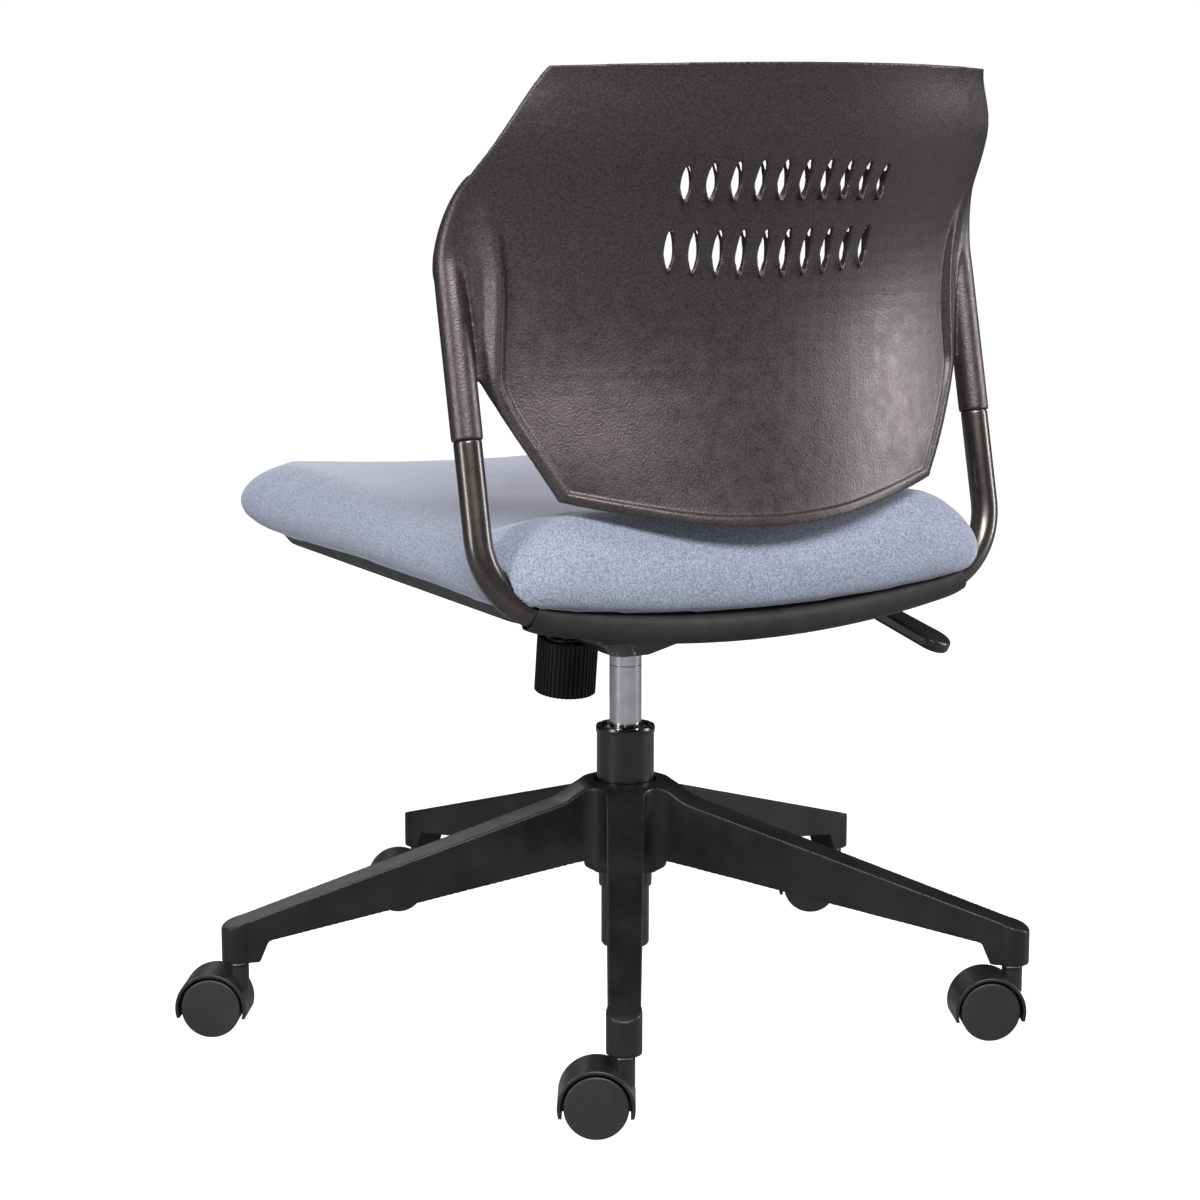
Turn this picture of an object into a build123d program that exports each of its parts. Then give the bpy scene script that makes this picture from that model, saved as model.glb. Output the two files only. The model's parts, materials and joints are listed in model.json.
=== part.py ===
"""Swivel office chair: five-leg caster base, gas lift, tilt mechanism, seat and tube-hung back.

Frame: millimetres, origin on the floor under the column axis, +Z up, the sitter faces -Y
and the sitter's left hand is at +X.
"""

import os
from math import asin, cos, degrees, hypot, radians, sin, sqrt, tan

from build123d import *

os.makedirs("parts", exist_ok=True)

RUN = 0.05            # radial clearance of a pin or shaft in its hole
GAP = 0.3             # clearance between neighbouring moulded or soft pieces

# ---- five-leg base ----
LEGS = 5
FIRST_LEG = 61.4      # polar angle of the first leg, degrees from +X
STEM_R = 343.0        # column axis to caster stem axis
LEG_ROOT_R = 66.0     # radius where a leg's upper line turns up to the hub
LEG_TIP_Z = 97.0      # height of a leg's upper line at the stem
LEG_SLOPE = 0.2975
LEG_HALF_HUB = 16.8
LEG_HALF_END = 12.6
SOCKET_R = 14.0
SOCKET_Z = 62.0
HUB_TOP = 196.0
HUB_RING_R = 27.2
HUB_BORE_R = 24.8
WEB_FILLET = 18.0
BASE_WALL = 3.2
RIB_RADII = [85, 130, 175, 220, 265, 305]

# ---- gas lift ----
TUBE_R = 25.0
TUBE_BOTTOM = 47.0
TUBE_TOP = 243.0
PISTON_R = 14.0
CYLINDER_BOTTOM = 122.0
CYLINDER_TOP = 340.0
SEAM_Z = 297.0
ROD_R = 5.0

# ---- casters ----
WHEEL_R = 25.0
WHEEL_W = 16.5
HOOD_R = 30.0
HOOD_WALL = 2.6
HOOD_HALF = 21.0
CASTER_WEB = 6.0
TRAIL = 21.0
TRAIL_ANGLE = -28.5   # direction in which every caster trails, degrees from +X
CASTER_TWIST = [0, 4, -5, 3, -3]
STEM_PIN_R = 5.5
STEM_TOP = 93.0
STEM_FOOT = 46.5
AXLE_PIN_R = 3.0

# ---- tilt mechanism ----
TILT_Y = -35.0
TILT_Z = 352.0
HOUSING_BOTTOM = 307.0
HOUSING_FLOOR = 329.0
HOUSING_HALF = 52.0
HOUSING_FRONT = -150.0
HOUSING_REAR = 62.0
SHEET = 3.0
LEVER_Y = 16.0
LEVER_Z = 351.0
LEVER_ROD_R = 4.5
KNOB_R = 27.5
KNOB_TILT = 7.5       # lean of the tension bolt, degrees, bottom forward
KNOB_HEIGHT = 50.0
KNOB_RIBS = 44
BOLT_R = 5.0

# ---- seat ----
SEAT_TILT = 1.75      # degrees, front edge up
TUCK_Z = 403.6        # height of the cushion's lower edge at the column axis
SEAT_FRONT = -300.0
SEAT_REAR = 238.0
SEAT_HALF_FRONT = 258.0
SEAT_HALF_REAR = 224.0
SEAT_CORNER_FRONT = 66.0
SEAT_CORNER_REAR = 42.0
CUSHION_BOTTOM = -1.0  # heights here are in the tilted seat plane
CUSHION_TOP = 46.0
COVER = 1.5
BOARD = 10.0
BOARD_TOP = 0.4
PLATE_SHEET = 3.2
PLATE_TOP = BOARD_TOP - BOARD - 0.1
PLATE_BOLTS = [(x, y) for x in (-72, 72) for y in (-115, 60)]
PAN_DROP = 20.0
PAN_WALL = 2.6
PAN_SCREWS = [(x, y) for x in (-150, 150) for y in (-190, -20, 150)]
BRACKET_X = 122.0
BRACKET_SCREWS = [(x, y) for x in (-BRACKET_X, BRACKET_X) for y in (140, 164)]
SLEEVE_R = 13.8
MOUTH_TURN = 13.0      # degrees of each bend that the sleeve covers

# ---- back frame and shell ----
BACK_TUBE_R = 11.1
BACK_TUBE_WALL = 1.8
LEG_X = 234.0
LEG_LEAN = 0.2346     # forward lean of the uprights, run over rise
JOINT_Z = 522.0
JOINT_Y = 178.5
SAG_Z = 368.0         # tube centre at mid width
SHELL = 4.6
BOSS_R = 12.4
SCREW_Z = 600.0

leg_angles = [FIRST_LEG + i * 360 / LEGS for i in range(LEGS)]


def save(part, name):
    """Label one finished piece and write it as its own STEP file."""
    part.label = name
    export_step(part, f"parts/{name}.step")


def seat_z(y, drop=0.0):
    """Height of the tilted seat plane at y, lowered by drop."""
    return TUCK_Z - y * tan(radians(SEAT_TILT)) - drop


def frame_y(z):
    """Y of the back frame's plane at height z."""
    return JOINT_Y + (JOINT_Z - z) * LEG_LEAN


seat_plane = Plane(origin=(0, 0, TUCK_Z), x_dir=(1, 0, 0),
                   z_dir=(0, sin(radians(SEAT_TILT)), cos(radians(SEAT_TILT))))


# ======================================================================= base
def top_line(r):
    """Height of the legs' upper line at radius r."""
    return LEG_TIP_Z + (STEM_R - r) * LEG_SLOPE


def under_line(r):
    """Height of the legs' lower edge at radius r."""
    return 128.0 - (r - 45.0) * 0.176


def star_outline(inset=0.0):
    """Plan of the five legs, blended round at the hub, pulled in by inset."""
    with BuildSketch() as plan:
        with PolarLocations(0, LEGS, start_angle=FIRST_LEG):
            Polygon((0, -LEG_HALF_HUB), (STEM_R, -LEG_HALF_END), (STEM_R, LEG_HALF_END),
                    (0, LEG_HALF_HUB), align=None)
        with PolarLocations(STEM_R, LEGS, start_angle=FIRST_LEG):
            Circle(SOCKET_R)
        crotches = [v for v in plan.vertices() if hypot(v.X, v.Y) < 60]
        fillet(crotches, WEB_FILLET)
        if inset:
            offset(amount=-inset, mode=Mode.REPLACE)
    return plan.sketch


# channel under each leg, crossed by stiffening ribs
with BuildPart() as leg_channels:
    with BuildSketch(Plane.XY.offset(SOCKET_Z - 5)):
        add(star_outline(BASE_WALL))
        Circle(HUB_RING_R + 9, mode=Mode.SUBTRACT)
        for leg in leg_angles:
            with PolarLocations(0, 1, start_angle=leg):
                with Locations(*[(r, 0) for r in RIB_RADII]):
                    Rectangle(2.4, 40, mode=Mode.SUBTRACT)
                with Locations((STEM_R + 2, 0)):
                    Rectangle(46, 40, mode=Mode.SUBTRACT)
    extrude(amount=HUB_TOP)
    with BuildSketch(Plane.XZ):
        with BuildLine():
            Polyline((20, 40), (STEM_R, 40), (STEM_R, top_line(STEM_R) - 4),
                     (LEG_ROOT_R, top_line(LEG_ROOT_R) - 4), (40, 184), (20, 184), close=True)
        make_face()
    revolve(axis=Axis.Z, mode=Mode.INTERSECT)

with BuildPart() as star_base:
    with BuildSketch():
        add(star_outline())
    extrude(amount=HUB_TOP + 10)
    with BuildSketch(Plane.XZ):
        with BuildLine():
            tip = (STEM_R + 2, top_line(STEM_R + 2))
            root = (LEG_ROOT_R, top_line(LEG_ROOT_R))
            beyond = STEM_R + SOCKET_R + 6
            Polyline((0, 118), (38, 118), (45, under_line(45)), (STEM_R - 24, under_line(STEM_R - 24)),
                     (STEM_R - 16, SOCKET_Z), (beyond, SOCKET_Z), (beyond, 82))
            Spline((beyond, 82), tip, tangents=((-0.2, 1), (-1, LEG_SLOPE)))
            Line(tip, root)
            Spline(root, (29, HUB_TOP), tangents=((-1, LEG_SLOPE), (-1, 0.02)))
            Polyline((29, HUB_TOP), (0, HUB_TOP), (0, 118))
        make_face()
    revolve(axis=Axis.Z, mode=Mode.INTERSECT)
    add(leg_channels.part, mode=Mode.SUBTRACT)
    with BuildSketch(Plane.XZ):
        with BuildLine():
            Polyline((0, 100), (HUB_BORE_R - 1.6, 100), (HUB_BORE_R, HUB_TOP - 12),
                     (HUB_RING_R, HUB_TOP - 1.5), (HUB_RING_R, HUB_TOP + 5), (0, HUB_TOP + 5), close=True)
        make_face()
    revolve(axis=Axis.Z, mode=Mode.SUBTRACT)
    with BuildSketch(Plane.XY.offset(SOCKET_Z)):
        with PolarLocations(STEM_R, LEGS, start_angle=FIRST_LEG):
            Circle(7.5)
    extrude(amount=31.5, mode=Mode.SUBTRACT)
save(star_base.part, "star_base")

with BuildPart() as caster_sockets:
    with BuildSketch(Plane.XY.offset(SOCKET_Z)):
        with PolarLocations(STEM_R, LEGS, start_angle=FIRST_LEG):
            Circle(7.45)
            Circle(STEM_PIN_R + RUN, mode=Mode.SUBTRACT)
    extrude(amount=31.4)
save(caster_sockets.part, "caster_sockets")

with BuildPart() as column_tube:
    with BuildSketch(Plane.XZ):
        with BuildLine():
            Polyline((ROD_R + 0.6, 52), (18.5, 52), (18.5, TUBE_BOTTOM), (20, TUBE_BOTTOM), (21, 49),
                     (21, 99), (HUB_BORE_R - 1.7, 101), (HUB_BORE_R - 0.1, HUB_TOP - 13),
                     (TUBE_R, HUB_TOP - 8), (TUBE_R, TUBE_TOP - 5), (22.6, TUBE_TOP - 5),
                     (22.6, HUB_TOP - 14), (20.8, 104), (18.8, 100), (18.8, 55), (ROD_R + 0.6, 55),
                     close=True)
        make_face()
    revolve(axis=Axis.Z)
save(column_tube.part, "column_tube")

with BuildPart() as column_guide:
    with BuildSketch(Plane.XZ):
        with BuildLine():
            Polyline((PISTON_R + RUN, 152), (20.5, 152), (22.5, HUB_TOP - 12), (22.5, TUBE_TOP - 5),
                     (18.6, TUBE_TOP - 5), (18.6, TUBE_TOP - 7), (PISTON_R + RUN, TUBE_TOP - 7), close=True)
        make_face()
    revolve(axis=Axis.Z)
save(column_guide.part, "column_guide")

with BuildPart() as column_collar:
    with BuildSketch(Plane.XZ):
        with BuildLine():
            Polyline((18.8, TUBE_TOP - 5), (TUBE_R + 0.6, TUBE_TOP - 5), (TUBE_R + 0.9, TUBE_TOP - 1.5),
                     (TUBE_R + 0.2, TUBE_TOP + 0.6), (20.6, TUBE_TOP + 0.6), (20.2, TUBE_TOP - 3),
                     (18.8, TUBE_TOP - 3), close=True)
        make_face()
    revolve(axis=Axis.Z)
    with BuildSketch(Plane.XY.offset(TUBE_TOP - 1.5)):
        with PolarLocations(TUBE_R - 2, 6):
            Rectangle(7, 3.2)
    extrude(amount=4, mode=Mode.SUBTRACT)
save(column_collar.part, "column_collar")

with BuildPart() as wiper_ring:
    with BuildSketch(Plane.XY.offset(TUBE_TOP - 6.8)):
        Circle(18.4)
        Circle(PISTON_R + RUN, mode=Mode.SUBTRACT)
    extrude(amount=4)
    with BuildSketch(Plane.XY.offset(TUBE_TOP - 2.8)):
        with PolarLocations(16.8, 3, start_angle=20):
            Rectangle(2.2, 8)
    extrude(amount=2.6)
save(wiper_ring.part, "wiper_ring")

with BuildPart() as thrust_bearing:
    with BuildSketch(Plane.XY.offset(55)):
        Circle(11)
        Circle(ROD_R + 0.6, mode=Mode.SUBTRACT)
    extrude(amount=1.2)
    with Locations(Plane.XY.offset(57.7)):
        with PolarLocations(8.4, 10):
            Sphere(1.5)
save(thrust_bearing.part, "thrust_bearing")

# ================================================================ lift rod
with BuildPart() as piston_rod:
    Cylinder(ROD_R, 232 - 46, align=(Align.CENTER, Align.CENTER, Align.MIN))
    with Locations((0, 0, 59.3 - 46)):
        Cylinder(10.5, 2.2, align=(Align.CENTER, Align.CENTER, Align.MIN))
    with BuildSketch(Plane.XY.offset(3.4)):
        Circle(ROD_R + 1)
        Circle(ROD_R - 1, mode=Mode.SUBTRACT)
    extrude(amount=1.6, mode=Mode.SUBTRACT)
piston_rod.part.position = (0, 0, 46)
save(piston_rod.part, "piston_rod")

with BuildPart() as rod_clip:
    with BuildSketch(Plane.XY.offset(49.5)):
        Circle(9)
        Circle(ROD_R - 0.9, mode=Mode.SUBTRACT)
        with Locations((8, 0)):
            Rectangle(12, 6, mode=Mode.SUBTRACT)
    extrude(amount=1.4)
save(rod_clip.part, "rod_clip")

with BuildPart() as piston_head:
    with BuildSketch(Plane.XZ):
        with BuildLine():
            Polyline((ROD_R + RUN, 218), (12.0, 218), (12.0, 222), (10.6, 222), (10.6, 226), (12.0, 226),
                     (12.0, 230), (ROD_R + RUN, 230), close=True)
        make_face()
    revolve(axis=Axis.Z)
save(piston_head.part, "piston_head")

# ================================================================ gas cylinder
with BuildPart() as pressure_cylinder:
    with BuildSketch(Plane.XZ):
        with BuildLine():
            Polyline((12.4, CYLINDER_BOTTOM), (PISTON_R, CYLINDER_BOTTOM), (PISTON_R, SEAM_Z - 0.5),
                     (PISTON_R - 0.35, SEAM_Z), (PISTON_R, SEAM_Z + 0.5), (PISTON_R, 318),
                     (PISTON_R - 0.9, CYLINDER_TOP), (3.1, CYLINDER_TOP), (3.1, CYLINDER_TOP - 9),
                     (12.4, CYLINDER_TOP - 9), close=True)
        make_face()
    revolve(axis=Axis.Z)
save(pressure_cylinder.part, "pressure_cylinder")

with BuildPart() as cylinder_gland:
    with BuildSketch(Plane.XY.offset(CYLINDER_BOTTOM + 0.5)):
        Circle(12.35)
        Circle(ROD_R + RUN, mode=Mode.SUBTRACT)
    extrude(amount=13)
save(cylinder_gland.part, "cylinder_gland")

with BuildPart() as valve_pin:
    with Locations((0, 0, CYLINDER_TOP - 12)):
        Cylinder(3.05, 17.5, align=(Align.CENTER, Align.CENTER, Align.MIN))
    with Locations((0, 0, CYLINDER_TOP - 12)):
        Cylinder(5.5, 2.0, align=(Align.CENTER, Align.CENTER, Align.MIN))
    fillet(valve_pin.faces().sort_by(Axis.Z)[-1].edges(), 1.2)
save(valve_pin.part, "valve_pin")

# ================================================================ tilt mechanism
with BuildPart() as taper_socket:
    with BuildSketch(Plane.XZ):
        with BuildLine():
            Polyline((PISTON_R + RUN, HOUSING_BOTTOM + 3.2), (16.2, HOUSING_BOTTOM + 3.2), (20, 318),
                     (20, 336), (PISTON_R - 0.7, 336), (PISTON_R + RUN, 318), close=True)
        make_face()
    revolve(axis=Axis.Z)
save(taper_socket.part, "taper_socket")


def dish(top_half, bottom_half, top_z, bottom_z, mode=Mode.ADD):
    """Pyramid with rounded corners, the pressed dish around the column."""
    with BuildSketch(Plane.XY.offset(bottom_z)) as low:
        RectangleRounded(2 * bottom_half, 2 * bottom_half, bottom_half * 0.45)
    with BuildSketch(Plane.XY.offset(top_z)) as high:
        RectangleRounded(2 * top_half, 2 * top_half, bottom_half * 0.45)
    loft([low.sketch.face(), high.sketch.face()], mode=mode)


HOUSING_Y = (HOUSING_FRONT + HOUSING_REAR) / 2
HOUSING_LEN = HOUSING_REAR - HOUSING_FRONT
with BuildPart() as mechanism_housing:
    dish(54, 18.5, HOUSING_FLOOR, HOUSING_BOTTOM)
    with BuildSketch(Plane.XY.offset(HOUSING_FLOOR)):
        with Locations((0, HOUSING_Y)):
            RectangleRounded(2 * HOUSING_HALF + 18, HOUSING_LEN + 10, 12)
    extrude(amount=SHEET)
    with BuildSketch(Plane.XY.offset(HOUSING_FLOOR)):
        with Locations((0, HOUSING_Y)):
            RectangleRounded(2 * HOUSING_HALF, HOUSING_LEN, 10)
    extrude(amount=34)
    with BuildSketch(Plane.XY.offset(HOUSING_FLOOR + SHEET)):
        with Locations((0, HOUSING_Y)):
            RectangleRounded(2 * (HOUSING_HALF - SHEET), HOUSING_LEN - 2 * SHEET, 7)
    extrude(amount=40, mode=Mode.SUBTRACT)
    dish(54 - SHEET, 18.5 - SHEET / 2, HOUSING_FLOOR + SHEET, HOUSING_BOTTOM + SHEET, mode=Mode.SUBTRACT)
    # the rear wall is cut low so that the seat plate can drop
    with Locations((0, HOUSING_REAR - 20, 350)):
        Box(2 * HOUSING_HALF + 2, 60, 30, align=(Align.CENTER, Align.CENTER, Align.MIN), mode=Mode.SUBTRACT)
    with Locations((0, 0, HOUSING_BOTTOM)):
        Cylinder(PISTON_R + 0.1, 20, mode=Mode.SUBTRACT)
    with Locations((0, -109, HOUSING_FLOOR)):
        Cylinder(11.5, 12, mode=Mode.SUBTRACT)
    with Locations(Location((0, TILT_Y, TILT_Z), (0, 90, 0))):
        Cylinder(6.0 + RUN, 140, mode=Mode.SUBTRACT)
    with Locations(Location((-HOUSING_HALF, LEVER_Y, LEVER_Z), (0, 90, 0))):
        Cylinder(7.0 + RUN, 12, mode=Mode.SUBTRACT)
save(mechanism_housing.part, "mechanism_housing")

with BuildPart() as tilt_axle:
    with Locations(Location((0, TILT_Y, TILT_Z), (0, 90, 0))):
        Cylinder(6.0, 132)
    chamfer(tilt_axle.edges().filter_by(GeomType.CIRCLE), 0.8)
save(tilt_axle.part, "tilt_axle")

with BuildPart() as tilt_bushes:
    with BuildSketch(Plane.YZ.offset(54)):
        with Locations((TILT_Y, TILT_Z)):
            Circle(8.5)
            Circle(6.0 + RUN, mode=Mode.SUBTRACT)
    extrude(amount=7)
    with BuildSketch(Plane.YZ.offset(54)):
        with Locations((TILT_Y, TILT_Z)):
            Circle(11)
            Circle(6.0 + RUN, mode=Mode.SUBTRACT)
    extrude(amount=1.5)
    mirror(about=Plane.YZ)
save(tilt_bushes.part, "tilt_bushes")

# ================================================================ height and lock lever
with BuildPart() as lever_rod:
    with Locations(Location((-98, LEVER_Y, LEVER_Z), (0, 90, 0))):
        Cylinder(LEVER_ROD_R, 232)
    chamfer(lever_rod.edges().filter_by(GeomType.CIRCLE), 0.6)
save(lever_rod.part, "lever_rod")

with BuildPart() as lever_finger:
    with Locations((-6, LEVER_Y - 8, LEVER_Z - 5)):
        Box(28, 26, 4, align=(Align.CENTER, Align.CENTER, Align.MIN))
    fillet(lever_finger.edges().filter_by(Axis.X).group_by(Axis.Y)[0], 1.5)
    with Locations(Location((-6, LEVER_Y, LEVER_Z), (0, 90, 0))):
        Cylinder(LEVER_ROD_R + 3, 28)
        Cylinder(LEVER_ROD_R, 30, mode=Mode.SUBTRACT)
save(lever_finger.part, "lever_finger")

PADDLE_ROOT = Vector(-211, 10, 349)
PADDLE_TIP = Vector(-263, 81, 309)
paddle_run = PADDLE_TIP - PADDLE_ROOT
paddle_across = Vector(0, 0, 1).cross(paddle_run).normalized()
paddle_plane = Plane(origin=PADDLE_ROOT, x_dir=paddle_run.normalized(),
                     z_dir=paddle_run.cross(paddle_across).normalized())
PADDLE_LEN = paddle_run.length
PADDLE_HALF_ROOT = 12.5
PADDLE_HALF_TIP = 17.5
with BuildPart() as lever_paddle:
    with BuildSketch(paddle_plane):
        Circle(PADDLE_HALF_ROOT)
        with Locations((PADDLE_LEN, 0)):
            Circle(PADDLE_HALF_TIP)
        Polygon((0, -PADDLE_HALF_ROOT), (PADDLE_LEN, -PADDLE_HALF_TIP),
                (PADDLE_LEN, PADDLE_HALF_TIP), (0, PADDLE_HALF_ROOT), align=None)
    extrude(amount=5.5, both=True)
    broad = lever_paddle.edges().filter_by(lambda e: abs(e.tangent_at(0.5).dot(paddle_plane.z_dir)) < 0.5)
    fillet(broad, 3.2)
    with Locations(Location((-202, LEVER_Y, LEVER_Z), (0, 90, 0))):
        Cylinder(8.5, 26)
    with Locations(Location((-98, LEVER_Y, LEVER_Z), (0, 90, 0))):
        Cylinder(LEVER_ROD_R + RUN, 232.2, mode=Mode.SUBTRACT)
save(lever_paddle.part, "lever_paddle")

with BuildPart() as lever_bush:
    with BuildSketch(Plane.YZ.offset(-66)):
        with Locations((LEVER_Y, LEVER_Z)):
            Circle(7.0)
            Circle(LEVER_ROD_R + RUN, mode=Mode.SUBTRACT)
    extrude(amount=24)
    with BuildSketch(Plane.YZ.offset(-66)):
        with Locations((LEVER_Y, LEVER_Z)):
            Circle(9.5)
            Circle(LEVER_ROD_R + RUN, mode=Mode.SUBTRACT)
    extrude(amount=1.7)
save(lever_bush.part, "lever_bush")

with BuildPart() as tilt_lock_bar:
    with Locations((-39, 29, LEVER_Z + 5)):
        Box(18, 40, 5.5, align=(Align.CENTER, Align.CENTER, Align.MIN))
    with Locations(Location((-39, LEVER_Y, LEVER_Z), (0, 90, 0))):
        Cylinder(7.0 + RUN, 40, mode=Mode.SUBTRACT)
    fillet(tilt_lock_bar.edges().filter_by(Axis.Z).group_by(Axis.Y)[-1], 3)
save(tilt_lock_bar.part, "tilt_lock_bar")

# ================================================================ tension knob
knob_plane = Plane(origin=(0, -115, 253), x_dir=(1, 0, 0),
                   z_dir=(0, sin(radians(KNOB_TILT)), cos(radians(KNOB_TILT))))

with BuildPart() as tension_knob:
    with BuildSketch(knob_plane):
        Circle(KNOB_R - 0.6)
        with PolarLocations(KNOB_R - 0.6, KNOB_RIBS):
            Circle(0.95)
    extrude(amount=KNOB_HEIGHT)
    with BuildSketch(knob_plane.offset(8)):
        Circle(KNOB_R - 3.5)
    extrude(amount=KNOB_HEIGHT, mode=Mode.SUBTRACT)
    with BuildSketch(knob_plane):
        Circle(BOLT_R + RUN)
    extrude(amount=10, mode=Mode.SUBTRACT)
save(tension_knob.part, "tension_knob")

with BuildPart() as tension_bolt:
    with BuildSketch(knob_plane.offset(1)):
        Circle(BOLT_R)
    extrude(amount=133)
save(tension_bolt.part, "tension_bolt")

with BuildPart() as tension_washer:
    with BuildSketch(knob_plane.offset(8 + GAP)):
        Circle(KNOB_R - 4.5)
        Circle(BOLT_R + GAP, mode=Mode.SUBTRACT)
    extrude(amount=2.5)
save(tension_washer.part, "tension_washer")

with BuildPart() as tension_nut:
    with BuildSketch(knob_plane.offset(125)):
        RegularPolygon(10, 6)
        Circle(BOLT_R + RUN, mode=Mode.SUBTRACT)
    extrude(amount=15)
save(tension_nut.part, "tension_nut")

SPRING_BOTTOM = 11.5
SPRING_TOP = 73.0
SPRING_WIRE = 2.2
SPRING_TURNS = 6
SPRING_RISE = SPRING_TOP - SPRING_BOTTOM - 2 * SPRING_WIRE
with BuildPart() as tension_spring:
    spring_base = knob_plane.offset(SPRING_BOTTOM + SPRING_WIRE)
    with BuildLine() as coil:
        Helix(SPRING_RISE / SPRING_TURNS, SPRING_RISE, 17.5, center=spring_base.origin,
              direction=spring_base.z_dir)
    with BuildSketch(Plane(origin=coil.line @ 0, z_dir=coil.line % 0)):
        Circle(SPRING_WIRE)
    sweep(is_frenet=True)
save(tension_spring.part, "tension_spring")

# ================================================================ seat
with BuildPart() as seat_plate:
    with BuildSketch(seat_plane.offset(PLATE_TOP - PLATE_SHEET)):
        with Locations((0, -28)):
            RectangleRounded(176, 226, 14)
        with Locations(*PLATE_BOLTS):
            Circle(4.3, mode=Mode.SUBTRACT)
        with Locations((0, -98)):
            Circle(9, mode=Mode.SUBTRACT)
    extrude(amount=PLATE_SHEET)
    for side in (56, -59):
        with BuildSketch(Plane.YZ.offset(side)):
            top = PLATE_SHEET - PLATE_TOP - 1
            Polygon((-72, seat_z(-72, top)), (2, seat_z(2, top)), (-18, TILT_Z - 8), (-52, TILT_Z - 8),
                    align=None)
            with Locations((TILT_Y, TILT_Z)):
                Circle(14)
                Circle(8.5 + RUN, mode=Mode.SUBTRACT)
        extrude(amount=3)
    with Locations((-22, 43, 364)):
        Box(12, 4, 27, align=(Align.CENTER, Align.CENTER, Align.MIN))
save(seat_plate.part, "seat_plate")


def seat_outline(inset):
    """Plan of the seat: wider at the front, round front corners, drawn in by inset."""
    with BuildSketch() as plan:
        front = SEAT_HALF_FRONT - inset
        rear = SEAT_HALF_REAR - inset
        Polygon((-front, SEAT_FRONT + inset), (front, SEAT_FRONT + inset),
                (rear, SEAT_REAR - inset), (-rear, SEAT_REAR - inset), align=None)
        fillet(plan.vertices().group_by(Axis.Y)[0], SEAT_CORNER_FRONT)
        fillet(plan.vertices().group_by(Axis.Y)[-1], SEAT_CORNER_REAR)
    return plan.sketch


with BuildPart() as seat_board:
    with BuildSketch(seat_plane.offset(BOARD_TOP - BOARD)):
        add(seat_outline(30))
        with Locations((0, SEAT_REAR)):
            Rectangle(600, 86, mode=Mode.SUBTRACT)
        with Locations(*PLATE_BOLTS):
            Circle(5.6, mode=Mode.SUBTRACT)
        with Locations(*PAN_SCREWS):
            Circle(1.9 + RUN, mode=Mode.SUBTRACT)
        with Locations(*BRACKET_SCREWS):
            Circle(2.4 + RUN, mode=Mode.SUBTRACT)
    extrude(amount=BOARD)
save(seat_board.part, "seat_board")

# ---- path of the back frame tube, in its leaning plane ----
frame_plane = Plane(origin=(0, frame_y(SAG_Z), SAG_Z), x_dir=(1, 0, 0),
                    z_dir=(0, -1 / hypot(1, LEG_LEAN), -LEG_LEAN / hypot(1, LEG_LEAN)))
BEND_R = 65.0
LOW_R = 905.0
RISE = hypot(1, LEG_LEAN)                       # length along the plane per unit of height
bend_x = LEG_X - BEND_R
bend_y = LOW_R - sqrt((LOW_R - BEND_R) ** 2 - bend_x ** 2)
low_turn = degrees(asin(bend_x / (LOW_R - BEND_R)))


def low_run(radius, bore, mouth_turn):
    """Round bar or pipe along the tube's lower run, reaching mouth_turn degrees into each bend."""
    with BuildPart() as pipe:
        with BuildLine(frame_plane):
            left = CenterArc((-bend_x, bend_y), BEND_R, -90 - low_turn - mouth_turn, mouth_turn)
            CenterArc((0, LOW_R), LOW_R, -90 - low_turn, 2 * low_turn)
            CenterArc((bend_x, bend_y), BEND_R, -90 + low_turn, mouth_turn)
        with BuildSketch(Plane(origin=left @ 0, z_dir=left % 0)):
            Circle(radius)
            if bore:
                Circle(bore, mode=Mode.SUBTRACT)
        sweep()
    return pipe.part


def upright(radius, bore, low_z, high_z, side):
    """Round bar or pipe along one upright between two heights."""
    with BuildPart() as pipe:
        start = Plane(origin=(side * LEG_X, frame_y(low_z), low_z), x_dir=(1, 0, 0),
                      z_dir=(0, -LEG_LEAN, 1))
        with BuildSketch(start):
            Circle(radius)
            if bore:
                Circle(bore, mode=Mode.SUBTRACT)
        extrude(amount=(high_z - low_z) * RISE)
    return pipe.part


# planes at the back's two screws, pointing forward square to the uprights
screw_planes = [Plane(origin=(side * LEG_X, frame_y(SCREW_Z), SCREW_Z), x_dir=(1, 0, 0),
                      z_dir=(0, -1, -LEG_LEAN)) for side in (-1, 1)]
BEND_TOP_Z = SAG_Z + bend_y / RISE
full_turn = 90 - low_turn
with BuildPart() as back_tube:
    add(low_run(BACK_TUBE_R, BACK_TUBE_R - BACK_TUBE_WALL, full_turn))
    for side in (-1, 1):
        add(upright(BACK_TUBE_R, BACK_TUBE_R - BACK_TUBE_WALL, BEND_TOP_Z, JOINT_Z - 0.3, side))
        add(upright(9.5, 7.6, JOINT_Z - 8, 640, side))
        add(upright(BACK_TUBE_R - 0.4, 7.6, JOINT_Z - 8, JOINT_Z - 0.4, side))
    with Locations(*screw_planes):
        Cylinder(2.0 + RUN, 20, align=(Align.CENTER, Align.CENTER, Align.MIN), mode=Mode.SUBTRACT)
save(back_tube.part, "back_tube")

# ---- seat pan: tray under the board with a sleeve round the tube's lower run ----

PAN_LIP = CUSHION_BOTTOM - GAP


def pan_tray(inset, floor, lip):
    """Solid tray shape, drawn in by inset, from floor up to lip in the seat plane."""
    with BuildPart() as tray:
        with BuildSketch(seat_plane.offset(floor)):
            add(seat_outline(30 + inset))
        with BuildSketch(seat_plane.offset(lip)):
            add(seat_outline(17 + inset))
        loft()
        with BuildSketch(seat_plane.offset(floor - 5)):
            with Locations((0, frame_y(380) - 8)):
                Rectangle(700, 200, align=(Align.CENTER, Align.MIN))
        extrude(amount=60, mode=Mode.SUBTRACT)
    return tray.part


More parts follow.
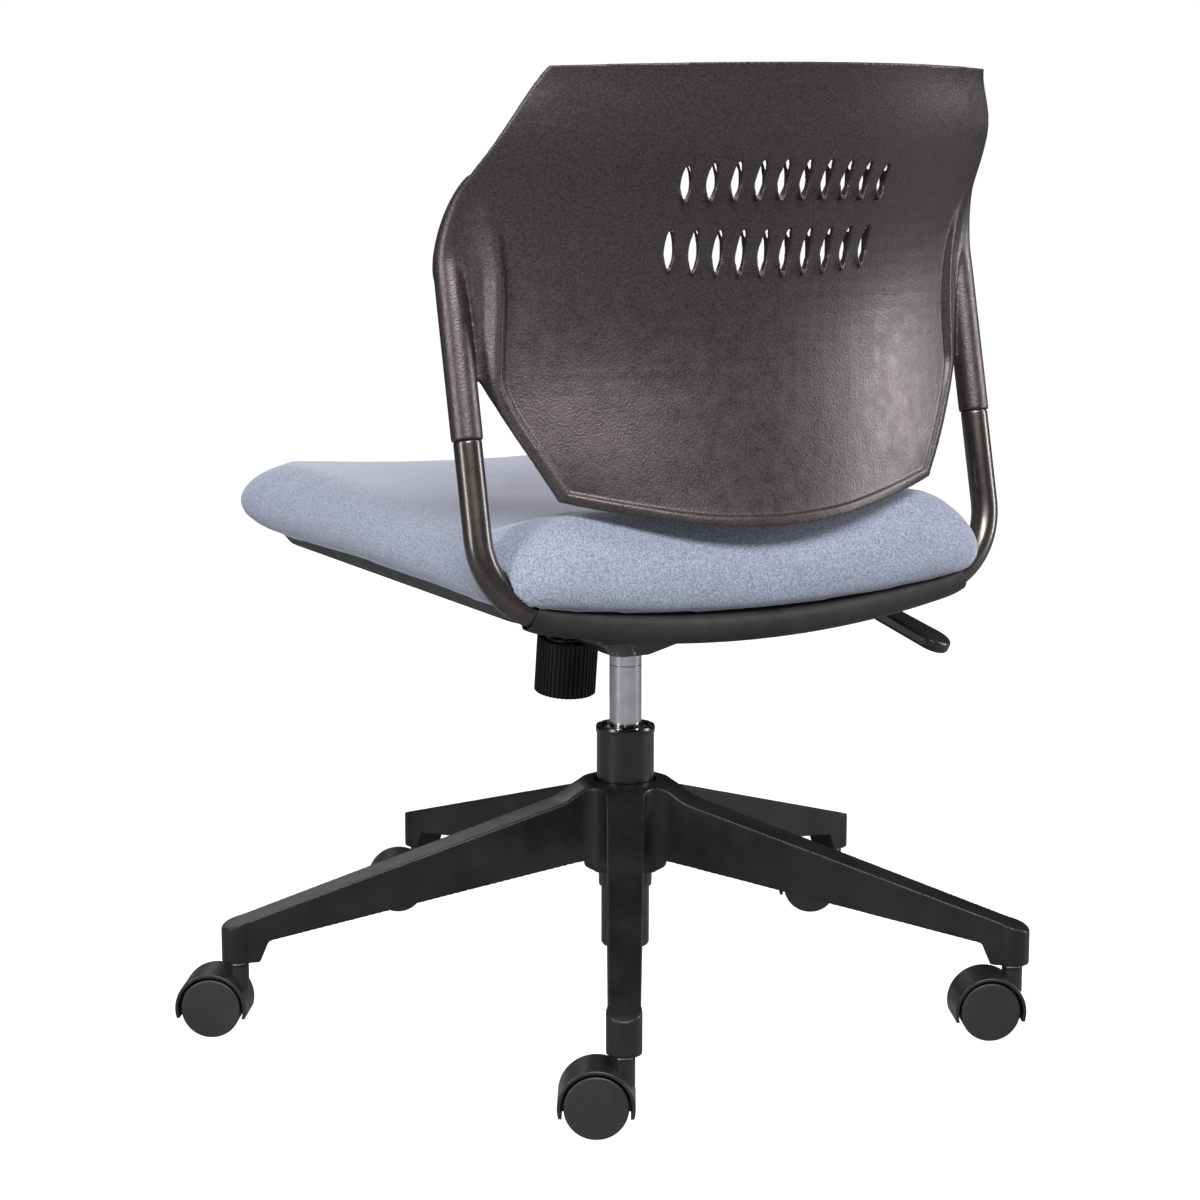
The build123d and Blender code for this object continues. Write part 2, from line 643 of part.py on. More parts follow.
# shallow recess round the tube at each mouth of the sleeve
with BuildPart() as mouth_recess:
    add(low_run(SLEEVE_R - 1.1, 0, MOUTH_TURN + 1))
    add(low_run(SLEEVE_R, 0, MOUTH_TURN - 3), mode=Mode.SUBTRACT)

with BuildPart() as seat_pan:
    add(pan_tray(0, -PAN_DROP, PAN_LIP))
    add(low_run(SLEEVE_R, 0, MOUTH_TURN))
    add(pan_tray(PAN_WALL, -PAN_DROP + PAN_WALL, PAN_LIP + 0.1), mode=Mode.SUBTRACT)
    with BuildSketch(seat_plane.offset(PLATE_TOP - 4.5)):
        with Locations((-BRACKET_X, 172), (BRACKET_X, 172)):
            Rectangle(37, 90)
    extrude(amount=5, mode=Mode.SUBTRACT)
    add(low_run(BACK_TUBE_R + 0.2, 0, full_turn), mode=Mode.SUBTRACT)
    add(mouth_recess.part, mode=Mode.SUBTRACT)
    with BuildSketch(seat_plane.offset(-PAN_DROP - 1)):
        with Locations((0, -28)):
            RectangleRounded(192, 244, 18)
    extrude(amount=10, mode=Mode.SUBTRACT)
    # screw bosses between the tray floor and the board
    with BuildSketch(seat_plane.offset(-PAN_DROP)):
        with Locations(*PAN_SCREWS):
            Circle(5.5)
    extrude(amount=PAN_DROP + BOARD_TOP - BOARD - 0.1)
    with BuildSketch(seat_plane.offset(-PAN_DROP - 1)):
        with Locations(*PAN_SCREWS):
            Circle(2.2)
    extrude(amount=12, mode=Mode.SUBTRACT)
save(seat_pan.part, "seat_pan")

# ---- foam block and its fabric cover ----


def cushion_block(inset):
    """Rounded cushion block with a rear lobe reaching down to the tube's sleeve."""
    with BuildPart() as block:
        with BuildSketch(seat_plane.offset(CUSHION_BOTTOM + inset)):
            add(seat_outline(inset))
        extrude(amount=CUSHION_TOP - CUSHION_BOTTOM - 2 * inset)
        fillet(block.faces().sort_by(Axis.Z)[-1].edges(), 22)
        fillet(block.faces().sort_by(Axis.Z)[0].edges(), 5)
        with BuildSketch(Plane.XZ.offset(-198 - inset)):
            with BuildLine():
                ThreePointArc((-188 + inset, 401), (0, 383 + inset), (188 - inset, 401))
                Line((188 - inset, 401), (-188 + inset, 401))
            make_face()
        extrude(amount=-32 + 2 * inset)
        add(low_run(SLEEVE_R + GAP + inset, 0, MOUTH_TURN + 8), mode=Mode.SUBTRACT)
        add(low_run(BACK_TUBE_R + 1 + inset, 0, full_turn), mode=Mode.SUBTRACT)
        for side in (-1, 1):
            add(upright(BACK_TUBE_R + 1 + inset, 0, BEND_TOP_Z - 2, 500, side), mode=Mode.SUBTRACT)
    return block.part


with BuildPart() as board_space:
    with BuildSketch(seat_plane.offset(-40)):
        add(seat_outline(30 - GAP))
        with Locations((0, SEAT_REAR + GAP)):
            Rectangle(600, 86, mode=Mode.SUBTRACT)
    extrude(amount=40 + BOARD_TOP + GAP)

with BuildPart() as seat_foam:
    add(cushion_block(COVER + 0.2))
    add(board_space.part, mode=Mode.SUBTRACT)
save(seat_foam.part, "seat_foam")

with BuildPart() as seat_cover:
    add(cushion_block(0))
    add(cushion_block(COVER), mode=Mode.SUBTRACT)
    add(board_space.part, mode=Mode.SUBTRACT)
save(seat_cover.part, "seat_cover")

# ---- fasteners of the seat ----
with BuildPart() as plate_bolts:
    with BuildSketch(seat_plane.offset(PLATE_TOP - PLATE_SHEET - 5.3)):
        with Locations(*PLATE_BOLTS):
            RegularPolygon(7.5, 6)
    extrude(amount=5.3)
    with BuildSketch(seat_plane.offset(PLATE_TOP - PLATE_SHEET)):
        with Locations(*PLATE_BOLTS):
            Circle(4)
    extrude(amount=13)
save(plate_bolts.part, "plate_bolts")

with BuildPart() as board_nuts:
    with BuildSketch(seat_plane.offset(BOARD_TOP - BOARD)):
        with Locations(*PLATE_BOLTS):
            Circle(5.5)
            Circle(4 + RUN, mode=Mode.SUBTRACT)
    extrude(amount=BOARD)
save(board_nuts.part, "board_nuts")

with BuildPart() as pan_screws:
    with BuildSketch(seat_plane.offset(-PAN_DROP - 1.6)):
        with Locations(*PAN_SCREWS):
            Circle(4.5)
    extrude(amount=1.5)
    with BuildSketch(seat_plane.offset(-PAN_DROP - 0.2)):
        with Locations(*PAN_SCREWS):
            Circle(1.9)
    extrude(amount=16)
save(pan_screws.part, "pan_screws")

with BuildPart() as tube_brackets:
    with BuildSketch(seat_plane.offset(BOARD_TOP - BOARD - 4.3)):
        with Locations((-BRACKET_X, 171), (BRACKET_X, 171)):
            RectangleRounded(36, 86, 5)
        with Locations(*BRACKET_SCREWS):
            Circle(2.7, mode=Mode.SUBTRACT)
    extrude(amount=4.2)
    add(low_run(BACK_TUBE_R + RUN, 0, MOUTH_TURN), mode=Mode.SUBTRACT)
save(tube_brackets.part, "tube_brackets")

with BuildPart() as bracket_screws:
    with BuildSketch(seat_plane.offset(BOARD_TOP - BOARD - 6.4)):
        with Locations(*BRACKET_SCREWS):
            Circle(4.6)
    extrude(amount=2.0)
    with BuildSketch(seat_plane.offset(BOARD_TOP - BOARD - 5)):
        with Locations(*BRACKET_SCREWS):
            Circle(2.4)
    extrude(amount=13)
save(bracket_screws.part, "bracket_screws")

with BuildPart() as back_screws:
    with Locations(*screw_planes):
        Cylinder(2.0, BOSS_R + 1, align=(Align.CENTER, Align.CENTER, Align.MIN))
        with Locations((0, 0, BOSS_R + 0.1)):
            Cylinder(3.8, 1.8, align=(Align.CENTER, Align.CENTER, Align.MIN))
save(back_screws.part, "back_screws")

# ================================================================ back shell
# height, rear surface at mid width, horizontal radius
SHELL_SECTIONS = [(435, 259.5, 345), (473, 246.5, 385), (522, 236, 440), (566, 228.5, 442),
                  (615, 227.5, 425), (660, 238.5, 372), (716, 267, 346), (762, 292, 347), (820, 323.5, 350)]
SHELL_HALF = 256.0
# vent slots: heights of each row's slots, and how much the row's middle slots reach past them
SLOT_ROWS = [((701, 730), (0, 6)), ((649, 683), (7, 0))]
ROW_PITCH = 19.5
ROW_SLOTS = 10
SLOT_HALF = 3.7
SLOT_DEPTH = 7.6
SLOT_LIP = 1.6


def shell_at(height):
    """Rear surface at mid width and horizontal radius of the shell at one height."""
    for (z0, mid0, radius0), (z1, mid1, radius1) in zip(SHELL_SECTIONS, SHELL_SECTIONS[1:]):
        if z0 <= height <= z1:
            share = (height - z0) / (z1 - z0)
            return mid0 + share * (mid1 - mid0), radius0 + share * (radius1 - radius0)


def slot_outline(half_width, half_height):
    """Slim oval with rounded ends."""
    with BuildSketch() as oval:
        with BuildLine():
            ThreePointArc((0, -half_height), (half_width, 0), (0, half_height))
            ThreePointArc((0, half_height), (-half_width, 0), (0, -half_height))
        make_face()
        fillet(oval.vertices(), 1.4)
    return oval.sketch


def slot_places():
    """Plane square to the shell's rear surface and half height of every vent slot."""
    places = []
    for (low, high), (reach_down, reach_up) in SLOT_ROWS:
        for slot in range(ROW_SLOTS):
            across = (slot - (ROW_SLOTS - 1) / 2) * ROW_PITCH
            arch = 1 - (2 * across / (ROW_SLOTS * ROW_PITCH)) ** 2
            bottom = low - reach_down * arch
            top = high + reach_up * arch
            mid, radius = shell_at((bottom + top) / 2)
            aside = across / radius
            behind = sqrt(1 - aside ** 2)
            origin = (across, mid - radius + radius * behind, (bottom + top) / 2)
            places.append((Plane(origin=origin, x_dir=(-behind, aside, 0), z_dir=(aside, behind, 0)),
                           (top - bottom) / 2))
    return places


def shell_band(height, mid, radius):
    """Curved band through the shell at one height."""
    edge = mid - radius + sqrt(radius ** 2 - SHELL_HALF ** 2)
    inner = edge - SHELL
    with BuildSketch(Plane.XY.offset(height)) as band:
        with BuildLine():
            ThreePointArc((-SHELL_HALF, edge), (0, mid), (SHELL_HALF, edge))
            Line((SHELL_HALF, edge), (SHELL_HALF, inner))
            ThreePointArc((SHELL_HALF, inner), (0, mid - SHELL), (-SHELL_HALF, inner))
            Line((-SHELL_HALF, inner), (-SHELL_HALF, edge))
        make_face()
    return band.sketch.face()


with BuildPart() as back_shell:
    loft([shell_band(*section) for section in SHELL_SECTIONS])
    # outline as seen from behind
    with BuildSketch(Plane.XZ):
        with BuildLine():
            ThreePointArc((0, 805), (100, 804.2), (193.3, 802))
            Spline((193.3, 802), (209, 774), (225.5, 739), (238, 703), (245, 667), (246.3, 645),
                   tangents=((0.5, -0.87), (0, -1)))
            # the edge runs inside the screw boss from here down
            Polyline((246.3, 645), (LEG_X, 625), (LEG_X, 566), (219, 566), (196.6, 522), (169.5, 474))
            Spline((169.5, 474), (120, 463.5), (0, 450), tangents=((-0.96, -0.26), (-1, 0)))
            mirror(about=Plane.YZ)
        make_face()
    extrude(amount=-400, mode=Mode.INTERSECT)
    for side in (-1, 1):
        add(upright(BOSS_R, 0, JOINT_Z, 655, side))
        with BuildSketch(Plane(origin=(side * LEG_X, frame_y(655), 655), x_dir=(1, 0, 0),
                               z_dir=(0, -LEG_LEAN, 1))):
            Circle(BOSS_R)
        with BuildSketch(Plane(origin=(side * (LEG_X - 0.5), frame_y(655) + 5, 682), x_dir=(1, 0, 0),
                               z_dir=(0, 0.3, 1))):
            Circle(9.2)
        with BuildSketch(Plane(origin=(side * (LEG_X - 5), frame_y(655) + 30, 722), x_dir=(1, 0, 0),
                               z_dir=(0, 0.6, 1))):
            Circle(2.6)
        loft()
        add(upright(9.7, 0, JOINT_Z - 2, 642, side), mode=Mode.SUBTRACT)
    # each vent slot has a lip round it on the sitter's side
    for place, half_height in slot_places():
        with BuildSketch(place.offset(-SLOT_DEPTH)):
            add(slot_outline(SLOT_HALF + SLOT_LIP, half_height + SLOT_LIP))
        extrude(amount=SLOT_DEPTH - 2)
        with BuildSketch(place):
            add(slot_outline(SLOT_HALF, half_height))
        extrude(amount=30, both=True, mode=Mode.SUBTRACT)
    with Locations(*screw_planes):
        Cylinder(2.2, 30, align=(Align.CENTER, Align.CENTER, Align.MIN), mode=Mode.SUBTRACT)
save(back_shell.part, "back_shell")

# ================================================================ casters
def caster_plane(leg, twist):
    """Plane at a caster's stem on the floor, x along the trail and y along the axle."""
    stem = (STEM_R * cos(radians(leg)), STEM_R * sin(radians(leg)), 0)
    heading = radians(TRAIL_ANGLE + twist)
    return Plane(origin=stem, x_dir=(cos(heading), sin(heading), 0), z_dir=(0, 0, 1))


with BuildPart() as caster_hood:
    # mudguard ring open below, solid at first
    with BuildSketch(Plane.XZ):
        with Locations((TRAIL, WHEEL_R)):
            Circle(HOOD_R)
        with Locations((TRAIL, WHEEL_R - 8)):
            Rectangle(80, 40, align=(Align.CENTER, Align.MAX), mode=Mode.SUBTRACT)
    extrude(amount=HOOD_HALF, both=True)
    rims = caster_hood.edges().filter_by(GeomType.CIRCLE)
    fillet(rims, 1.0)
    # neck round the stem
    with BuildSketch(Plane.XY.offset(38)):
        Circle(8.6)
        with Locations((TRAIL / 2, 0)):
            Rectangle(TRAIL, 15)
    extrude(amount=9)
    with BuildSketch(Plane.XY.offset(38)):
        Circle(8.6)
    extrude(amount=21.5)
    # wheel wells each side of the web
    for well_plane, well in ((Plane.XZ.offset(CASTER_WEB / 2), 1), (Plane.XZ.offset(-CASTER_WEB / 2), -1)):
        with BuildSketch(well_plane):
            with Locations((TRAIL, WHEEL_R)):
                Circle(HOOD_R - HOOD_WALL)
        extrude(amount=well * HOOD_R, mode=Mode.SUBTRACT)
    with BuildSketch(Plane.XZ):
        with Locations((TRAIL, WHEEL_R)):
            Circle(15)
    extrude(amount=CASTER_WEB / 2, both=True)
    with Locations((0, 0, STEM_FOOT)):
        Cylinder(STEM_PIN_R + 0.01, 40, align=(Align.CENTER, Align.CENTER, Align.MIN), mode=Mode.SUBTRACT)
    with Locations(Location((TRAIL, 0, WHEEL_R), (90, 0, 0))):
        Cylinder(AXLE_PIN_R + RUN, 60, mode=Mode.SUBTRACT)

with BuildPart() as caster_stem:
    with Locations((0, 0, STEM_FOOT)):
        Cylinder(STEM_PIN_R, STEM_TOP - STEM_FOOT, align=(Align.CENTER, Align.CENTER, Align.MIN))
    with Locations((0, 0, 59.6)):
        Cylinder(7.6, 2.2, align=(Align.CENTER, Align.CENTER, Align.MIN))
    chamfer(caster_stem.faces().sort_by(Axis.Z)[-1].edges(), 1)

with BuildPart() as caster_axle:
    with Locations(Location((TRAIL, 0, WHEEL_R), (90, 0, 0))):
        Cylinder(AXLE_PIN_R, 34)

with BuildPart() as caster_wheels:
    with BuildSketch(Plane.XZ.offset(CASTER_WEB / 2 + 0.5)):
        with Locations((TRAIL, WHEEL_R)):
            Circle(WHEEL_R)
            Circle(AXLE_PIN_R + 0.01, mode=Mode.SUBTRACT)
    extrude(amount=WHEEL_W)
    fillet(caster_wheels.edges().filter_by(GeomType.CIRCLE).group_by(SortBy.RADIUS)[-1], 1.6)
    with BuildSketch(Plane.XZ.offset(CASTER_WEB / 2 + 0.5 + WHEEL_W)):
        with Locations((TRAIL, WHEEL_R)):
            Circle(AXLE_PIN_R + 3)
    extrude(amount=-1.8)
    mirror(about=Plane.XZ)

caster_pieces = {"hood": caster_hood, "stem": caster_stem, "axle": caster_axle, "wheels": caster_wheels}
for number, leg in enumerate(leg_angles):
    place = caster_plane(leg, CASTER_TWIST[number])
    for piece, built in caster_pieces.items():
        save(built.part.moved(place.location), f"caster_{number + 1}_{piece}")
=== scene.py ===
"""Looks of the swivel office chair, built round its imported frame.

Metres, origin on the floor under the column, +Z up. The sitter faces -Y, their left hand is at +X.
"""
import json
from math import asin, cos, hypot, pi, radians, sin, sqrt

import bmesh
import bpy
import numpy as np
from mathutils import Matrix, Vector


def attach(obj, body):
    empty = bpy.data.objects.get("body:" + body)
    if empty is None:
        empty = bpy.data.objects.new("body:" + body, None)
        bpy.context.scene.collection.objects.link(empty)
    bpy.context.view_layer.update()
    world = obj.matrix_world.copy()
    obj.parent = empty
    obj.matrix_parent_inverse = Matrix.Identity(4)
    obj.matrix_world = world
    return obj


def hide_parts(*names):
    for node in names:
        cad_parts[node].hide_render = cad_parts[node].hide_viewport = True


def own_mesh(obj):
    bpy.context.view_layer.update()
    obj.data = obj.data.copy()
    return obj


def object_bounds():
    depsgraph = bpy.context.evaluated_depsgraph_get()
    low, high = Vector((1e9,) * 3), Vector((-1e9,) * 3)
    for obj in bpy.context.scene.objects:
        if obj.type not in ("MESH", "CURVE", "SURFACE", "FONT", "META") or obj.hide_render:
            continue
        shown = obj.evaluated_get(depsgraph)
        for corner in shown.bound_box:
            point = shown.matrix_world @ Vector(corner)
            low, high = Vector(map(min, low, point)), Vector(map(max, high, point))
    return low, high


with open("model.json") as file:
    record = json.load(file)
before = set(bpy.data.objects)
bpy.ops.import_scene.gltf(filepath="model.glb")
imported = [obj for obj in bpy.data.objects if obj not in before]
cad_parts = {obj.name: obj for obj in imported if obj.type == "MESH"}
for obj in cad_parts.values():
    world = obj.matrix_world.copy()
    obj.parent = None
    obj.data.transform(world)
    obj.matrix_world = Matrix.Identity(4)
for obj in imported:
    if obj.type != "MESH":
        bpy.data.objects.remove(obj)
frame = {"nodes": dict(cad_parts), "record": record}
cad_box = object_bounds()

# ---- camera ----
CAMERA_AT = (1.1495, 2.1171, 0.7704)
CAMERA_LOOKS = (-0.4622, -0.8702, -0.1707)
LENS_MM = 85

# ---- studio ----
FLOOR_GLOW = 1.0           # of the floor, to the camera alone, so that it looks white
FLOOR_TONE = 0.24          # of the floor, to the light that falls on it
SKY_LIGHT = 0.04           # of the surroundings, other than to the camera
# each lamp as its name, place, width and height, and watts
LAMPS = [("left", (2.7, 0.4, 1.2), (0.45, 1.9), 56), ("right", (-2.4, 1.1, 1.2), (0.45, 1.9), 58),
         ("rear", (0.9, 2.5, 2.4), (2.0, 0.6), 158), ("top", (0.3, 0.0, 2.9), (1.0, 0.8), 12),
         ("front", (0.2, -2.2, 2.0), (1.6, 1.6), 22)]

# ---- cushion, close to the seat in the frame ----
SEAT_SLOPE = 0.0305        # fall of the seat per metre towards the rear
TUCK_Z = 0.4036            # height of the seat's lower edge at the column
TUCK_DROP = 0.004          # how far the cushion reaches below that edge
TUCK_SIDE_DROP = 0.006     # and how much further along the front half of the sides
TUCK_NOSE_LIFT = 0.008     # how far the lower edge comes up again at the front
TUCK_REAR_Z = 0.3785       # lower edge at the rear, in the middle of the sleeve
SEAT_FRONT = -0.300
SEAT_REAR = 0.238
HALF_FRONT = 0.260
HALF_REAR = 0.228
FRONT_CORNER = 0.053
REAR_CORNER = 0.058
BULGE = 0.017              # height of the widest line over the tuck
SHOULDER = 0.052           # how far in from the widest line the top is level
TUCK_INSET = 0.013         # how far in from the widest line the tuck lies
CROWN_Z = 0.4465           # top of the cushion in the front half, in the middle
SADDLE_RISE = 0.0105       # of the sides of the top over its middle
ROLL_RISE = 0.0190         # of the roll across the rear
ROLL_Y = 0.196
CREASE_Y = 0.135           # of the shallow crease in front of the roll
EAR_REACH = 0.290          # reach of a rear corner along its own diagonal
EAR_SHOULDER = 0.100       # width of its rounding
EAR_LOW_Z = 0.407          # height at its tip
NOSE_REACH = 0.370         # the same three sizes at the front corners
NOSE_SHOULDER = 0.095
NOSE_LOW_Z = 0.416

# ---- back tube, as in the frame ----
TUBE_R = 0.0111
LEG_X = 0.234
LEG_LEAN = 0.2346
JOINT_Y = 0.1785
JOINT_Z = 0.522
SAG_Z = 0.368
BEND_R = 0.065
LOW_R = 0.905
SLEEVE_R = 0.0138          # of the pan's sleeve round the low run
MOUTH_X = 0.1995           # half length of that sleeve

VOXEL = 0.0011             # grain of the remeshed moulded shells
CUSHION_VOXEL = 0.005


# ======================================================================= small helpers
def link(piece):
    """Put an object in the scene."""
    bpy.context.collection.objects.link(piece)
    return piece


def mesh_piece(name, points, faces):
    """Object with a smooth-shaded mesh of these points and faces."""
    mesh = bpy.data.meshes.new(name)
    mesh.from_pydata([tuple(p) for p in points], [], faces)
    mesh.validate()
    mesh.shade_smooth()
    return link(bpy.data.objects.new(name, mesh))


def copy_of(node, name):
    """Own copy of a CAD node's mesh, its coincident corners welded."""
    mesh = frame["nodes"][node].data.copy()
    mesh.name = name
    mesh.materials.clear()
    work = bmesh.new()
    work.from_mesh(mesh)
    bmesh.ops.remove_doubles(work, verts=work.verts, dist=2e-6)
    work.to_mesh(mesh)
    work.free()
    for layer in [a for a in mesh.attributes if a.name in ("custom_normal", "sharp_face", "sharp_edge")]:
        mesh.attributes.remove(layer)
    return link(bpy.data.objects.new(name, mesh))


def apply_modifiers(piece):
    """Make the modifiers' result the piece's own mesh."""
    evaluated = piece.evaluated_get(bpy.context.evaluated_depsgraph_get())
    mesh = bpy.data.meshes.new_from_object(evaluated)
    piece.modifiers.clear()
    piece.data = mesh
    piece.data.name = piece.name
    return piece


def remesh(piece, voxel, passes, factor=0.5):
    """Even skin of small quads over the piece, its edges softened by smoothing passes."""
    skin = piece.modifiers.new("skin", "REMESH")
    skin.mode = "VOXEL"
    skin.voxel_size = voxel
    if passes:
        soften = piece.modifiers.new("soften", "SMOOTH")
        soften.factor = factor
        soften.iterations = passes
    apply_modifiers(piece)
    piece.data.shade_smooth()
    return piece


def coordinates(piece):
    """The mesh's points as an n by 3 array."""
    points = np.empty(len(piece.data.vertices) * 3)
    piece.data.vertices.foreach_get("co", points)
    return points.reshape(-1, 3)


def set_coordinates(piece, points):
    """Move the mesh's points to these places."""
    piece.data.vertices.foreach_set("co", np.ascontiguousarray(points, float).ravel())
    piece.data.update()


def normals(piece):
    """The mesh's point normals as an n by 3 array."""
    return np.array([v.normal for v in piece.data.vertices], float).reshape(-1, 3)


def smooth_step(values, low, high):
    """0 below low, 1 above high, with an even turn between."""
    t = np.clip((values - low) / (high - low), 0, 1)
    return t * t * (3 - 2 * t)


# ======================================================================= materials
class Look:
    """One procedural material: its node tree and the few node kinds used here."""

    def __init__(self, name, **sockets):
        self.material = bpy.data.materials.new(name)
        self.material.use_nodes = True
        self.tree = self.material.node_tree
        self.shader = self.tree.nodes["Principled BSDF"]
        self.place = self.tree.nodes.new("ShaderNodeTexCoord").outputs["Object"]
        for socket, value in sockets.items():
            self.shader.inputs[socket.replace("_", " ")].default_value = value

    def node(self, kind, **inputs):
        """Add a node and set or link its inputs by name."""
        added = self.tree.nodes.new(kind)
        for socket, value in inputs.items():
            self.join(value, added.inputs[socket.replace("_", " ")])
        return added

    def join(self, value, socket):
        """Link an output to a socket, or set a constant on it."""
        if isinstance(value, bpy.types.NodeSocket):
            self.tree.links.new(value, socket)
        else:
            socket.default_value = value

    def noise(self, size, detail=3.0, stretch=(1, 1, 1), roughness=0.5):
        """Noise whose grain is about size metres across."""
        scaled = self.node("ShaderNodeMapping", Vector=self.place, Scale=stretch)
        noise = self.node("ShaderNodeTexNoise", Vector=scaled.outputs["Vector"], Scale=1 / size,
                          Detail=detail, Roughness=roughness)
        return noise.outputs["Fac"]

    def bands(self, size, turn):
        """Soft stripes, size metres apart, across the turned X axis."""
        turned = self.node("ShaderNodeMapping", Vector=self.place, Rotation=turn)
        waves = self.node("ShaderNodeTexWave", Vector=turned.outputs["Vector"], Scale=0.314 / size,
                          Distortion=4.0, Detail=2.0, Detail_Scale=2.0)
        return waves.outputs["Fac"]

    def blend(self, factor, low, high):
        """Colour that runs from low to high with factor."""
        ramp = self.node("ShaderNodeValToRGB", Fac=factor)
        ramp.color_ramp.elements[0].position = 0.35
        ramp.color_ramp.elements[0].color = (*low, 1)
        ramp.color_ramp.elements[1].position = 0.65
        ramp.color_ramp.elements[1].color = (*high, 1)
        return ramp.outputs["Color"]

    def span(self, factor, low, high):
        """Value that runs from low to high with factor."""
        return self.node("ShaderNodeMapRange", Value=factor, From_Min=0.3, From_Max=0.7, To_Min=low,
                         To_Max=high).outputs["Result"]

    def bump(self, height, distance, strength=1.0, under=None):
        """Surface relief from a height, over an earlier relief."""
        relief = self.node("ShaderNodeBump", Height=height, Distance=distance, Strength=strength)
        if under:
            self.tree.links.new(under, relief.inputs["Normal"])
        return relief.outputs["Normal"]

    def finish(self, colour=None, roughness=None, normal=None):
        """Link the finished colour, roughness and relief to the shader."""
        for value, socket in ((colour, "Base Color"), (roughness, "Roughness"), (normal, "Normal")):
            if value is not None:
                self.join(value, self.shader.inputs[socket])
        return self.material


def moulded_plastic(name, dark, light, rough, grain, relief, specular=0.5, fleck=0.05, tint=(1, 1, 1)):
    """Stippled moulded plastic: fine grain, a drift of colour fleck metres across, and one of gloss."""
    look = Look(name, Specular_IOR_Level=specular, Specular_Tint=(*tint, 1))
    stipple = look.bump(look.noise(grain, 2.0), relief)
    flow = look.bump(look.noise(0.03, 2.0), relief * 1.5, under=stipple)
    return look.finish(look.blend(look.noise(fleck), dark, light),
                       look.span(look.noise(0.012, 4.0), rough - 0.05, rough + 0.06), flow)


def painted_metal(name, dark, light, rough, coat, metallic=0.0, peel_depth=0.00002):
    """Baked paint on metal, with faint orange peel."""
    look = Look(name, Coat_Weight=coat, Coat_Roughness=rough * 0.7, Metallic=metallic)
    peel = look.bump(look.noise(0.0018, 1.0), peel_depth)
    return look.finish(look.blend(look.noise(0.02), dark, light),
                       look.span(look.noise(0.008, 4.0), rough - 0.04, rough + 0.05), peel)


def bare_metal(name, colour, rough, stretch, scratch=0.00001):
    """Bare metal with fine marks drawn out one way."""
    look = Look(name, Metallic=1.0)
    marks = look.noise(0.0009, 3.0, stretch)
    duller = tuple(c * 0.86 for c in colour)
    return look.finish(look.blend(look.noise(0.01), duller, colour), look.span(marks, rough, rough + 0.09),
                       look.bump(marks, scratch))


def woven_fabric():
    """Blue-grey upholstery: plain weave of heather yarns with a soft sheen."""
    look = Look("seat_weave", Sheen_Weight=0.5, Sheen_Roughness=0.4, Sheen_Tint=(0.90, 0.88, 1.0, 1),
                Specular_IOR_Level=0.25)
    warp = look.bands(0.0015, (0, radians(38), 0))
    weft = look.bands(0.0015, (0, radians(35), radians(90)))
    woven = look.node("ShaderNodeMath", Value=warp)
    woven.operation = "MULTIPLY"
    look.tree.links.new(weft, woven.inputs[1])
    yarn = look.noise(0.0016, 4.0)
    heather = look.blend(yarn, (0.130, 0.146, 0.194), (0.265, 0.284, 0.358))
    thread = look.bump(woven.outputs["Value"], 0.00012, 0.5)
    nap = look.bump(yarn, 0.00024, 0.8, under=thread)
    return look.finish(heather, look.span(look.noise(0.004), 0.66, 0.84), nap)


def plywood():
    """Raw beech plywood, its grain running front to back."""
    look = Look("beech_ply")
    grain = look.noise(0.004, 5.0, (1, 0.06, 1))
    return look.finish(look.blend(grain, (0.42, 0.28, 0.15), (0.62, 0.45, 0.27)), 0.62,
                       look.bump(grain, 0.0001))


LOOKS = {
    "base_plastic": moulded_plastic("base_nylon", (0.005, 0.0045, 0.005), (0.011, 0.010, 0.011), 0.40,
                                    0.0007, 0.00004, 0.35),
    "caster_plastic": moulded_plastic("hood_nylon", (0.008, 0.008, 0.008), (0.014, 0.013, 0.013), 0.34,
                                      0.0007, 0.00002),
    "wheel_plastic": moulded_plastic("wheel_nylon", (0.010, 0.010, 0.011), (0.018, 0.017, 0.018), 0.5,
                                     0.0006, 0.00003),
    "lever_plastic": moulded_plastic("lever_nylon", (0.010, 0.010, 0.011), (0.018, 0.018, 0.019), 0.33,
                                     0.0008, 0.00002),
    "pan_plastic": moulded_plastic("pan_polymer", (0.008, 0.007, 0.008), (0.016, 0.014, 0.015), 0.45,
                                   0.0007, 0.00005),
    "shell_plastic": moulded_plastic("shell_polymer", (0.004, 0.0032, 0.0034), (0.024, 0.019, 0.020), 0.42,
                                     0.0017, 0.00024, 0.75, 0.0018, (1.0, 0.87, 0.89)),
    "knob_plastic": moulded_plastic("knob_nylon", (0.004, 0.004, 0.004), (0.008, 0.008, 0.008), 0.45,
                                    0.0006, 0.00003, 0.25),
    "guide_plastic": moulded_plastic("acetal", (0.020, 0.020, 0.022), (0.034, 0.034, 0.036), 0.4,
                                     0.0008, 0.00002),
    "black_paint": painted_metal("black_powder_coat", (0.005, 0.005, 0.005), (0.009, 0.008, 0.008), 0.30,
                                 0.3),
    "tube_paint": painted_metal("bronze_black_paint", (0.034, 0.028, 0.026), (0.048, 0.040, 0.036), 0.32,
                                0.6, 0.7, 0.0),
    "chrome_steel": bare_metal("hard_chrome", (0.60, 0.61, 0.64), 0.14, (1, 1, 0.1), 0.000002),
    "zinc_steel": bare_metal("zinc_plate", (0.62, 0.62, 0.60), 0.28, (1, 1, 1)),
    # tension spring: very dark steel, so that the coil between knob and pan reads dark
    "spring_steel": bare_metal("dark_spring_steel", (0.035, 0.034, 0.034), 0.5, (1, 1, 1)),
    "plywood": plywood(),
    "foam": moulded_plastic("foam_skin", (0.55, 0.48, 0.32), (0.66, 0.60, 0.42), 0.9, 0.0015, 0.0003, 0.1),
    "seat_fabric": woven_fabric(),
}

